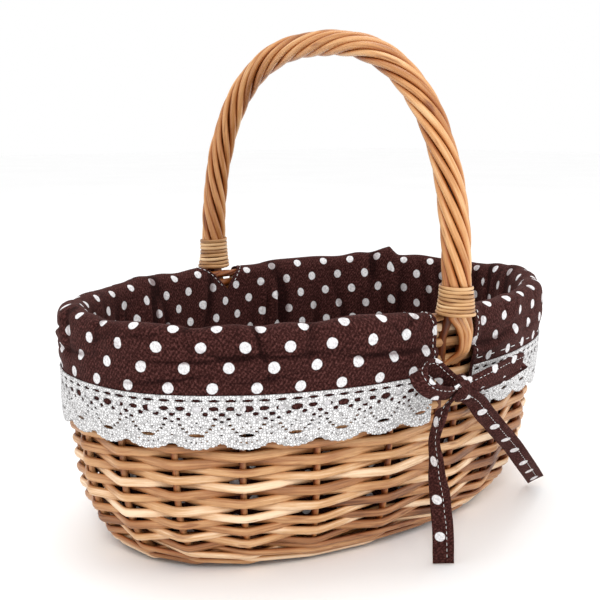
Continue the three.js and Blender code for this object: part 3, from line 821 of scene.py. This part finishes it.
def add_handle():
    """Rods twisted round the core, four of which spread over the weave below each binding."""
    points, along = arch_points()
    paths = spiral_paths(points, along)
    far_order, near_order = splay_order(1, paths), splay_order(-1, paths)
    for i, path in enumerate(paths):
        rod = Shape()
        far = foot_curve(path[::-1], 1, far_order, i)[::-1]
        whole = np.vstack([far, path, foot_curve(path, -1, near_order, i)])
        t = np.linspace(0, 1, len(whole))
        girth = HANDLE_ROD_RADIUS * (1 + 0.05 * waves(t, (0.4, 0.17, 0.07), (1, 0.6, 0.3)))
        girth = girth * np.interp(whole[:, 2], SPLAY_GIRTH_Z, (SPLAY_GIRTH, 1))
        far_side = 0.5 + whole[:, 1] / (2 * ARCH_HALF_SPAN)
        # rods darker towards the far foot: partly their own tone, partly painted shade of the far leg
        tone = RNG.uniform(0.42, 0.68) - 0.10 * far_side + 0.06 * waves(t, (0.3, 0.11), (1, 0.6))
        away = away_from_arch(whole, points)
        # painted shade on the side of each rod turned towards the handle's middle, and towards the wall
        # below it
        tube(rod, whole, *carried_frame(whole), girth, girth, tone, 14, outside=away, groove=2.0)
        piece = rod.make(f"twisted_rod_{i + 1}", HANDLE_LOOK)
        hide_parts(f"handle_rod_{i + 1}")


def add_handle_core():
    """The bow inside the twist, whose ends go down into the wall."""
    core = Shape()
    far, near = [wall(side * math.pi / 2, CORE_FOOT_HEIGHTS, WALL_MID)[0] for side in (1, -1)]
    whole = np.vstack([far, arch_points()[0][4:-4], near[::-1]])
    radius = np.interp(whole[:, 2], CORE_RADII_Z, CORE_RADII)
    tube(core, whole, *carried_frame(whole), radius, radius, 0.3, 10)
    piece = core.make("core_rods", STAKE_LOOK)
    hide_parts("handle_core")


def add_binding(side, name, bottom, top):
    """A strip of split cane wound round the handle's foot, its lower turns flaring over the rods."""
    strip = Shape()
    turn = np.linspace(0, 2 * math.pi * BINDING_TURNS, BINDING_TURNS * BINDING_TURN_POINTS + 1)
    pitch = (top - bottom) / (BINDING_TURNS + 1)
    flare = BINDING_FLARE * (1 - turn / turn[-1]) ** 2
    radius = BINDING_RADIUS + flare + 0.10 * waves(turn, (7.1, 2.9), (1, 0.7))
    height = bottom + pitch * (0.5 + turn / (2 * math.pi)) + 0.12 * waves(turn, (5.3, 1.9), (1, 0.6))
    out = stacked(np.cos(turn), side * np.sin(turn), 0.0)
    path = stacked(0.0, side * (ARCH_HALF_SPAN - 0.2), height) + out * radius[:, None]
    tone = 0.5 + 0.16 * waves(turn, (23, 9), (1, 0.6))
    up = np.broadcast_to(UP, out.shape)
    # painted shade on the strip's inner side and along its edges between turns
    tube(strip, path, out, up, CANE_HALF_THICK, pitch * 0.47, tone, 10, power=0.8, deep=0.05, groove=1.8)
    piece = strip.make(name + "_strip", CANE_LOOK)
    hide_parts(name)


# ---------------------------------------------------------------- liner
# The liner's profile: distance up the cloth, distance out from the wall, height
PROFILE = np.array([
    [0.0, BAG_OUT - 2.5, 12.2], [4.0, BAG_OUT - 0.8, 14.6], [10.0, BAG_OUT, 20.0],
    [24.0, BAG_OUT, 34.0], [60.0, BAG_OUT, 70.0], [92.0, BAG_OUT, 102.0],
    [103.0, BAG_OUT + 0.2, 113.0], [107.0, -9.4, 116.6], [110.2, -7.6, 118.7],
    [113.4, -4.6, 119.7], [116.7, -1.6, 119.2], [119.4, 0.6, 117.6],
    [123.6, 1.9, 113.8], [130.0, 2.4, 107.4], [138.0, 2.5, 99.4],
    [144.0, 2.2, 93.4], [149.0, 1.9, 88.4], [160.0, 1.75, 77.4],
])
PROFILE_CURVE = smooth_path(PROFILE, 12)
PROFILE_END = PROFILE[-1, 0]
RIPPLES = {side: RNG.random((12,)) * 2 * math.pi for side in (-1, 1)}
# Creases: how many in each half, then the limits of their place up the profile, slope, length,
# width and depth
CREASE_KINDS = [
    (15, (127, 142), (-0.22, 0.22), (12, 26), (0.9, 1.6), (0.9, 1.7)),
    (16, (112, 128), (-1.1, 1.1), (5, 11), (0.9, 1.5), (0.5, 1.1)),
    (34, (55, 110), (1.3, 1.85), (14, 36), (1.3, 2.6), (1.0, 2.2)),
]


def draw_creases(side):
    """Seeded places and sizes of the short creases in one half of the cloth."""
    middle = 1.0 if side < 0 else 0.5
    creases = []
    for count, *ranges in CREASE_KINDS:
        for _ in range(count):
            place = (middle + 0.25 * side * RNG.uniform(-1, 1)) * RIM_LENGTH
            creases.append((place, *[RNG.uniform(*limits) for limits in ranges]))
    return creases


CREASES = {side: draw_creases(side) for side in (-1, 1)}


def crease_depth(side, arc, v):
    """Short sharp creases in the cloth, each a valley with a soft ridge beside it."""
    total = np.zeros(np.broadcast(arc, v).shape)
    for at_arc, at_v, slope, length, width, depth in CREASES[side]:
        a, b = arc - at_arc, v - at_v
        along = a * math.cos(slope) + b * math.sin(slope)
        across = b * math.cos(slope) - a * math.sin(slope) + 0.04 * along**2 / length
        valley = bell(across, width) - 0.55 * bell(across - 2.3 * width, 1.7 * width)
        total = total + depth * valley * bell(along, length)
    return total


def profile_at(v):
    """Distance out and height of the liner's plain shape at a distance up its profile."""
    return [np.interp(v, PROFILE_CURVE[:, 0], PROFILE_CURVE[:, k]) for k in (1, 2)]


def fold_waves(side, arc, v):
    """Long, short and broad folds round the rim."""
    p = RIPPLES[side]
    long_fold = np.sin(arc / 9.2 + p[0] + 0.9 * np.sin(arc / 31 + p[1]) + 0.012 * (v - FOLD))
    short_fold = np.sin(arc / 4.1 + p[2] + 1.3 * np.sin(arc / 17 + p[3]) - 0.03 * (v - FOLD))
    broad = np.sin(arc / 24 + p[4]) + 0.6 * np.sin(arc / 13.5 + p[5])
    return long_fold, short_fold, broad


def bag_push(waves_here, v, angle, creased):
    """How far the bag inside the basket stands out from its plain shape, mostly a little inwards."""
    long_fold, short_fold, broad = waves_here
    inside = share(FOLD - 6 - v, 18) * share(v, 30)
    drawn_in = 1.3 + 0.9 * broad + 1.3 * long_fold + 0.4 * short_fold
    drawn_in = drawn_in + 2.6 * bell(angle - PLEAT_ANGLE + 1.5, 1.8)
    return np.maximum(-inside * drawn_in, -DEEPEST_BAG) - inside * np.maximum(creased, -0.6)


def lower_crease(side, arc, v, ends):
    """The long crease that runs along the cuff's lower part and comes and goes."""
    p = RIPPLES[side]
    low = 133 + 3.0 * np.sin(arc / 47 + p[8]) + 1.2 * np.sin(arc / 15 + p[9])
    depth = np.clip(0.55 + 0.75 * np.sin(arc / 33 + p[10]), 0, 1) * (1 - ends)
    return depth * (bell(v - low, 1.7) - 0.7 * bell(v - low - 5.5, 3.4))


def cuff_push(side, arc, v, waves_here, angle, creased):
    """How far the cuff stands out from its plain shape."""
    p = RIPPLES[side]
    long_fold, short_fold, broad = waves_here
    at_end = np.abs(np.cos(np.radians(angle)))
    ends = at_end**1.5
    outside = share(v - FOLD, 8)
    push = 0.65 * broad + (0.55 + 0.85 * ends) * long_fold + 0.28 * short_fold
    push = push + 0.35 * np.sin(arc / 15 + p[6] + v / 11) * np.sin(v / 6.5 + p[7]) - creased
    push = push * (1 - 0.8 * share(v - 132, 14))
    push = push - 0.6 * at_end**3 - 1.5 * bell(angle - TUCK_ANGLE, 2.6) * bell(v - 121, 7)
    push = push - 1.5 * lower_crease(side, arc, v, ends)
    push = np.maximum(outside * push, CUFF_LOWEST - (DEEPEST_BAG + CUFF_LOWEST) * (1 - outside))
    drag = np.sin(v / 2.6 + arc / 8.5 + p[11]) * bell(v - 127, 9)
    return push + 0.28 * outside * drag * np.clip(np.sin(arc / 41 + p[9]), 0, 1)


def fold_rise(waves_here, v, angle):
    """How far the fold over the rim rises, with a puff beside a tuck, a hump and a pointed pleat."""
    long_fold, short_fold, broad = waves_here
    rise = 0.75 * broad + 0.55 * long_fold + 0.35 * short_fold
    rise = rise + 1.7 * bell(angle - PUFF_ANGLE, 4.5) - 2.4 * bell(angle - TUCK_ANGLE, 2.6)
    rise = rise * bell(v - FOLD, 9)
    rise = np.where(rise < 0, SAG * np.tanh(rise / SAG), rise)
    hump = 2.0 * bell(angle - 46, 26) - 0.7 * bell(angle - 128, 30)
    from_pleat = np.abs(angle - PLEAT_ANGLE) / np.where(angle < PLEAT_ANGLE, 3.2, 7.5)
    pleat = 4.6 * np.maximum(1 - from_pleat, 0) ** 1.4
    return rise + share(v - 60, 40) * share(FOLD + 14 - v, 14) * (hump + pleat)


def ripple(side, arc, v):
    """How far the cloth stands out from its plain shape, and how far its fold rises."""
    angle = np.degrees(angle_at(arc))
    creased = crease_depth(side, arc, v)
    waves_here = fold_waves(side, arc, v)
    push = bag_push(waves_here, v, angle, creased)
    push = push + cuff_push(side, arc, v, waves_here, angle, creased)
    from_seam = np.abs(np.mod(arc, RIM_LENGTH / 2) - RIM_LENGTH / 4)
    sewn = bell(from_seam, SEAM_REACH) * share(NOTCH_END - v, 10)
    return push * (1 - sewn), fold_rise(waves_here, v, angle)


def liner_point(side, arc, v):
    """Point of the liner at a distance round the rim and a distance up its flat profile."""
    out, z = profile_at(v)
    push, rise = ripple(side, arc, v)
    angle = angle_at(arc)
    lower = share(BAG_FOOT_Z - z, BAG_FOOT_REACH) * (v < FOLD)
    points = wall(angle, z - lower * BAG_FOOT_DROP)[0]
    normal = wall(angle, CUFF_MIDDLE_Z)[1]
    points = points + normal * (out + push)[..., None]
    points[..., 2] = z + rise
    return points


def half_arc(side, u, v):
    """Distance round the rim for a share u of one half, from its near slit to its far slit."""
    narrow = SLIT_NARROW + SLIT_CROWN * bell(v - FOLD, 7)
    reaches = (narrow, SLIT_WIDE) if side < 0 else (SLIT_WIDE, narrow)
    opening = side * share(v - NOTCH_START, NOTCH_END - NOTCH_START)
    near = arc_at(-math.pi / 2) + opening * reaches[0] + (RIM_LENGTH if side < 0 else 0)
    far = arc_at(math.pi / 2) - opening * reaches[1]
    return near + (far - near) * u


def add_liner_half(side, name):
    """One half of the liner: up the inside, over the rim and down to the hem of its cuff."""
    u = np.linspace(0, 1, HALF_COLUMNS)[:, None]
    v = np.concatenate([np.linspace(0, 96, 40), np.linspace(98, PROFILE_END, 56)])[None, :]
    arc, v = np.broadcast_arrays(half_arc(side, u, v), v)
    below_fold = np.maximum(v - FOLD, 0)
    flat = stacked(arc - SKEW * below_fold, v, SKEW * share(below_fold, 4))
    # painted shade along the creases, inside the bag and on the cuff
    shade = np.clip(np.where(v < FOLD, -1.1, 0.8) * crease_depth(side, arc, v), 0, 1)
    cloth = Shape()
    cloth.add(liner_point(side, arc, v), [grid_faces(*arc.shape)], cloth=flat, deep=shade)
    piece = cloth.make(f"liner_{name}", COTTON_LOOK, CLOTH)
    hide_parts(f"cuff_{name}", "liner_bag")
    return piece


def stitch_line(shape, points, normals, length=1.5, gap=1.4, radius=0.14):
    """Separate raised stitches along a line of points."""
    run = run_along(points)
    swell = np.sin(np.linspace(0.15, math.pi - 0.15, STITCH_POINTS))
    size = radius * (0.55 + 0.45 * swell)
    start = 0.4
    while start + length < run[-1]:
        at = start + length * np.linspace(0, 1, STITCH_POINTS)
        out = unit(points_at(at, run, normals))
        path = points_at(at, run, points) + out * (0.14 * swell)[:, None]
        along = np.gradient(path, axis=0)
        across = unit(np.cross(out, along))
        tube(shape, path, across, unit(np.cross(along, across)), size, size, 0.5, 6)
        start += length + gap


def add_liner_stitches(side, name):
    """Stitches along the slits, and along the hem of the half whose hem shows them."""
    stitches = Shape()
    for end, inset in ((0, 1), (1, -1)):
        v = np.linspace(NOTCH_START + 2, HEM - 1.5, 120)
        arc = half_arc(side, end, v) + inset * side * SLIT_STITCH_INSET
        line = liner_point(side, arc, v)
        beside = liner_point(side, arc + 0.4, v)
        normal = unit(np.cross(np.gradient(line, axis=0), beside - line))
        stitch_line(stitches, line + normal * STITCH_OUT, normal, radius=0.2)
    if side > 0:
        u = np.linspace(0.008, 0.992, 900)
        v = np.full_like(u, HEM - HEM_STITCH_INSET)
        arc = half_arc(side, u, v)
        normal = wall(angle_at(arc), CUFF_MIDDLE_Z)[1]
        stitch_line(stitches, liner_point(side, arc, v) + normal * STITCH_OUT, normal, 4.6, 6.4, 0.22)
    return stitches.make(f"liner_{name}_stitches", THREAD_LOOK)


def add_liner_floor():
    """The bag's oval floor, which lies on the base in soft waves."""
    rings, around = 34, 260
    radius = np.linspace(0.004, 1, rings)
    angle = np.linspace(-math.pi, math.pi, around, endpoint=False)
    rim = 0.985 * liner_point(-1, arc_at(angle), np.full_like(angle, 1.5))
    x, y = rim[:, :1] * radius, rim[:, 1:2] * radius
    z = FLOOR_Z + 0.5 * np.sin(x / 19 + 1.1) * np.sin(y / 15 + 0.4) + 0.3 * np.sin((x + y) / 8)
    faces = [grid_faces(around, rings, loop=True), np.arange(around)[None, ::-1] * rings]
    floor = Shape()
    floor.add(stacked(x, y, z), faces, cloth=stacked(x, y, 0.0))
    piece = floor.make("liner_floor", COTTON_LOOK, CLOTH)
    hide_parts("liner_bag")
    return piece


# ---------------------------------------------------------------- lace
HALF_REPEAT = LACE_REPEAT / 2
# Holes in half of one repeat, mirrored: place across and down, half width and half height
LACE_HOLES = [
    (0, 2.2, 2.35, 0.68), (LACE_REPEAT / 3, 2.2, 2.35, 0.68), (0, 6.0, 2.5, 1.45),
    (LACE_REPEAT / 3, 5.8, 2.0, 1.0), (LACE_REPEAT / 6, 8.2, 1.2, 0.85), (HALF_REPEAT, 8.4, 1.35, 0.8),
    (HALF_REPEAT - 2.9, 10.4, 1.0, 0.65), (HALF_REPEAT, 11.6, 0.9, 0.5),
    (HALF_REPEAT - 3.6, 13.2, 0.85, 0.5), (HALF_REPEAT - 5.0, 14.9, 0.85, 0.48),
    (HALF_REPEAT - 6.5, 16.3, 0.8, 0.45), (0, 17.9, 3.2, 0.8), (HALF_REPEAT, 17.6, 0.6, 0.4),
    (HALF_REPEAT, 14.6, 0.5, 0.4), (0, 12.3, 0.5, 0.4), (1.9, 14.2, 0.45, 0.35),
]


def oval_hole(u, v, at_u, at_v, half_u, half_v):
    """Signed distance to an oval hole, positive outside it."""
    r = np.hypot((u - at_u) / half_u, (v - at_v) / half_v)
    return (r - 1.1) * min(half_u, half_v) * 1.15


def lace_field(u, v):
    """Positive where the lace has thread: a band of slots, ovals, a zigzag of holes and scallops."""
    w = np.mod(u + HALF_REPEAT, LACE_REPEAT) - HALF_REPEAT
    a = np.abs(w)
    scallop = 3.2 * (a / HALF_REPEAT) ** 2 + 0.55 * (1 - np.abs(np.sin(math.pi * w * 7 / LACE_REPEAT)))
    field = LACE_DROP - scallop - v
    for hole in LACE_HOLES:
        field = np.minimum(field, oval_hole(a, v, *hole))
    for k in range(-2, 3):
        field = np.minimum(field, oval_hole(w, v, k * 2.3, 21.2 - 0.22 * k * k, 0.42, 0.42))
    return np.minimum(field, 9.0)


def settle_on_edges(arc, v):
    """Moves the grid points that lie near an edge of the thread onto it."""
    small = 0.02
    value = lace_field(arc, v)
    gu = (lace_field(arc + small, v) - lace_field(arc - small, v)) / (2 * small)
    gv = (lace_field(arc, v + small) - lace_field(arc, v - small)) / (2 * small)
    steep = np.maximum(gu**2 + gv**2, 0.15)
    near = np.abs(value) / np.sqrt(steep) < 0.58 * LACE_STEP
    near[[0, -1]] = False
    near[:, 0] = False
    moves = [np.clip(-value * g / steep, -0.5 * LACE_STEP, 0.5 * LACE_STEP) for g in (gu, gv)]
    return arc + np.where(near, moves[0], 0), v + np.where(near, moves[1], 0)


def lace_point(side, arc, v):
    """Point of the lace at a distance round the rim and a distance down from its upper edge."""
    along = np.clip(HEM - 1.7 + v, 0, PROFILE_END)
    out = profile_at(along)[0] + ripple(side, arc, along)[0] + LACE_OUT
    phase = 0.7 * side
    sway = np.sin(arc / 21 + phase) * 0.4 + np.sin(arc / 8.7 + 2 * phase) * 0.25
    out = out + sway * share(v - 8, 12) - 0.5 * share(v - 11, 12)
    return wall(angle_at(arc), LACE_TOP - v, out)[0]


def add_lace(side, name):
    """One lace trim: a fine grid cut out along the lace's holes and scallops."""
    start, end = half_arc(side, np.array([0.0, 1.0]), PROFILE_END) + side * LACE_END_INSETS
    drop = LACE_DROP + 0.4
    columns, rows = int(abs(end - start) / LACE_STEP), int(drop / LACE_STEP)
    arc, v = np.meshgrid(np.linspace(start, end, columns), np.linspace(0, drop, rows), indexing="ij")
    for _ in range(2):
        arc, v = settle_on_edges(arc, v)
    faces = grid_faces(columns, rows)
    centre_arc, centre_v = [values.reshape(-1)[faces].mean(1) for values in (arc, v)]
    faces = faces[lace_field(centre_arc, centre_v) > 0]
    used = np.zeros(columns * rows, bool)
    used[faces.ravel()] = True
    points = lace_point(side, arc, v).reshape(-1, 3)[used]
    flat = stacked(arc, v, 0.0).reshape(-1, 3)[used]
    lace = Shape()
    lace.add(points, [(np.cumsum(used) - 1)[faces]], cloth=flat)
    piece = lace.make(f"lace_{name}_trim", LACE_LOOK, LACE_THICK)
    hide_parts(f"lace_{name}")
    return piece


# ---------------------------------------------------------------- ties
# Routes of the near bow's loops and tails; the far bow is the same turned by half a turn
LEFT_LOOP = [
    [-9, -109.5, 86.5], [-17, -111, 85.4], [-25, -111.4, 86.6], [-32.5, -110.6, 90.6],
    [-35.2, -108.6, 95.6], [-31, -106.6, 98.6], [-23.5, -105.6, 97.8], [-17.5, -105.6, 93.6],
    [-9.5, -106.4, 87.2],
]
RIGHT_LOOP = [
    [-5, -109.6, 86.4], [4.7, -111, 88.2], [16.3, -110, 89.2], [31.8, -107, 90], [41.6, -104, 90.2],
    [45.2, -101.9, 88.6], [41.6, -101.2, 86.2], [32, -102.4, 85], [19, -104.2, 84.4], [6, -105.6, 84.6],
    [-5, -106, 85.2],
]
LEFT_TAIL = [
    [-8.6, -107.6, 82.6], [-14, -107.8, 79.6], [-19.3, -107, 74], [-20.8, -106, 61.4], [-19.2, -106, 47],
    [-16.3, -106, 32.4], [-14.4, -106.2, 17.7], [-13.6, -106.4, 0.9],
]
FRONT_RIGHT_TAIL = [
    [-5, -107.6, 81.6], [3, -107.6, 78.6], [16, -104.6, 67.5], [42, -96.5, 49], [74, -84.5, 25.6],
    [105.5, -69.2, 4.4],
]
BACK_RIGHT_TAIL = [
    [-5, -107.6, 81.6], [3, -107.8, 78.2], [11, -106.6, 66], [20, -105.4, 46], [26, -105, 24],
    [29, -105, 3],
]
# For each: way across the tie, width, roll along it, row of stitches, place on the printed cloth
LEFT_LOOP_TIE = (LEFT_LOOP, (0.45, -0.6, 0.65), LOOP_WIDTH, (0.1, -0.1), 0.5, (3, 4))
RIGHT_LOOP_TIE = (RIGHT_LOOP, UP, LOOP_WIDTH, (0.15, 0, -0.1), 0.45, (9, 6))
LEFT_TAIL_ROLL = (1.15, 1.35, 1.25, 0.8, 0.3, 0)
LEFT_TAIL_TIE = (LEFT_TAIL, (0.767, -0.641, 0), TAIL_WIDTH, LEFT_TAIL_ROLL, 0.35, (2, 1.4))
RIGHT_TAIL_TIE = ((0.62, 0, 0.78), TAIL_WIDTH, (0.9, 0.8, 0.7), 0.25, (7, 9.4))


def to_side(points, side):
    """Turns points of the near bow by half a turn for the far side."""
    return points * np.array([-side, -side, 1.0])


def tie_frame(path, across, roll):
    """The way across a tie and the way out of its face, rolled along it."""
    t = np.linspace(0, 1, len(path))
    along = unit(np.gradient(path, axis=0))
    wide = np.broadcast_to(np.asarray(across, float), path.shape)
    wide = unit(wide - along * (wide * along).sum(1, keepdims=True))
    normal = np.cross(along, wide)
    roll = np.interp(t, np.linspace(0, 1, len(roll)), roll) + 0.07 * waves(t, (0.45, 0.2), (1, 0.6))
    c, s = np.cos(roll)[:, None], np.sin(roll)[:, None]
    return wide * c + normal * s, normal * c - wide * s


def add_tie(side, name, node, tie):
    """Flat folded tie: a rounded strip with a row of stitches on each face."""
    route, across, width, roll, stitch_row, (cloth_x, cloth_y) = tie
    path = smooth_path(route, 14)
    t = np.linspace(0, 1, len(path))
    wide, normal = tie_frame(path, across, roll)
    path = path + normal * (0.25 * waves(t, (0.37, 0.19), (1, 0.7)))[:, None]
    run = run_along(path)
    half = width / 2
    arch, curl = 0.4 * np.sin(run / 9 + t * 3)[:, None], 0.16 * np.sin(run / 3.1)[:, None]

    def height(w):
        return arch * (1 - w**2) + curl * w**2

    w = np.linspace(-1, 1, 13)
    top = path[:, None] + wide[:, None] * (w * half)[:, None] + normal[:, None] * height(w)[..., None]
    strip = Shape()
    flat = stacked(run[:, None] + cloth_x, w * half + cloth_y, 0.0)
    strip.add(to_side(top, side), [grid_faces(*flat.shape[:2])], cloth=flat)
    piece = strip.make(name, COTTON_LOOK, TAPE_THICK)
    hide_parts(node)
    thread = Shape()
    for face in (-1, 1):
        above = height(stitch_row) + face * (TAPE_THICK / 2 + 0.03)
        line = path + wide * (stitch_row * half) + normal * above
        stitch_line(thread, to_side(line[2:-2], side), to_side(normal[2:-2] * face, side))
    thread_piece = thread.make(name + "_stitches", THREAD_LOOK)


def add_knot(side, name):
    """The knot: the tie wrapped once round the crossing, pinched in the middle."""
    rings, around = 40, 48
    a = np.linspace(0, 2 * math.pi, around, endpoint=False)[:, None]
    b = np.clip(np.linspace(-math.pi / 2, math.pi / 2, rings), 0.03 - math.pi / 2, math.pi / 2 - 0.03)
    squeeze = 1 - 0.10 * np.cos(3 * a + 0.6) * np.cos(b)
    crease = 0.30 * np.sin(9 * b + 2.2 * np.sin(a)) * np.cos(b) + 0.22 * np.sin(5 * a + 3 * b)
    girth = np.cos(b) ** 0.75
    x = (KNOT_HALF[0] * squeeze + crease) * girth * np.cos(a)
    y = (KNOT_HALF[1] * squeeze + crease) * girth * np.sin(a)
    z = (KNOT_HALF[2] + 0.5 * np.cos(2 * a)) * signed_power(np.sin(b), 0.85)
    index = np.arange(around) * rings
    faces = [grid_faces(around, rings, loop=True), index[None, ::-1], index[None, :] + rings - 1]
    flat = stacked(a * 5.2 + 3.0, b * 6.5 + 1.5, 0.0)
    knot = Shape()
    knot.add(to_side(stacked(x, y, z) + KNOT_MIDDLE, side), faces, cloth=flat)
    piece = knot.make(f"{name}_knot_cloth", COTTON_LOOK)
    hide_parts(f"{name}_knot")


def add_bow(side, name):
    """Two loops, two tails and the knot at one handle foot."""
    right_route = FRONT_RIGHT_TAIL if side < 0 else BACK_RIGHT_TAIL
    add_tie(side, f"{name}_left_loop", f"{name}_loop_left", LEFT_LOOP_TIE)
    add_tie(side, f"{name}_right_loop", f"{name}_loop_right", RIGHT_LOOP_TIE)
    add_tie(side, f"{name}_left_tail", f"{name}_tail_left", LEFT_TAIL_TIE)
    add_tie(side, f"{name}_right_tail", f"{name}_tail_right", (right_route, *RIGHT_TAIL_TIE))
    add_knot(side, name)


# ---------------------------------------------------------------- build
add_wall()
add_stakes()
add_border()
add_base()
add_handle()
add_handle_core()
add_binding(-1, "front_binding", *NEAR_BINDING)
add_binding(1, "back_binding", *FAR_BINDING)

for half_side, half_name in ((-1, "left"), (1, "right")):
    half_piece = add_liner_half(half_side, half_name)
    half_stitches = add_liner_stitches(half_side, half_name)
    lace_piece = add_lace(half_side, half_name)
add_liner_floor()
add_bow(-1, "front")
add_bow(1, "back")
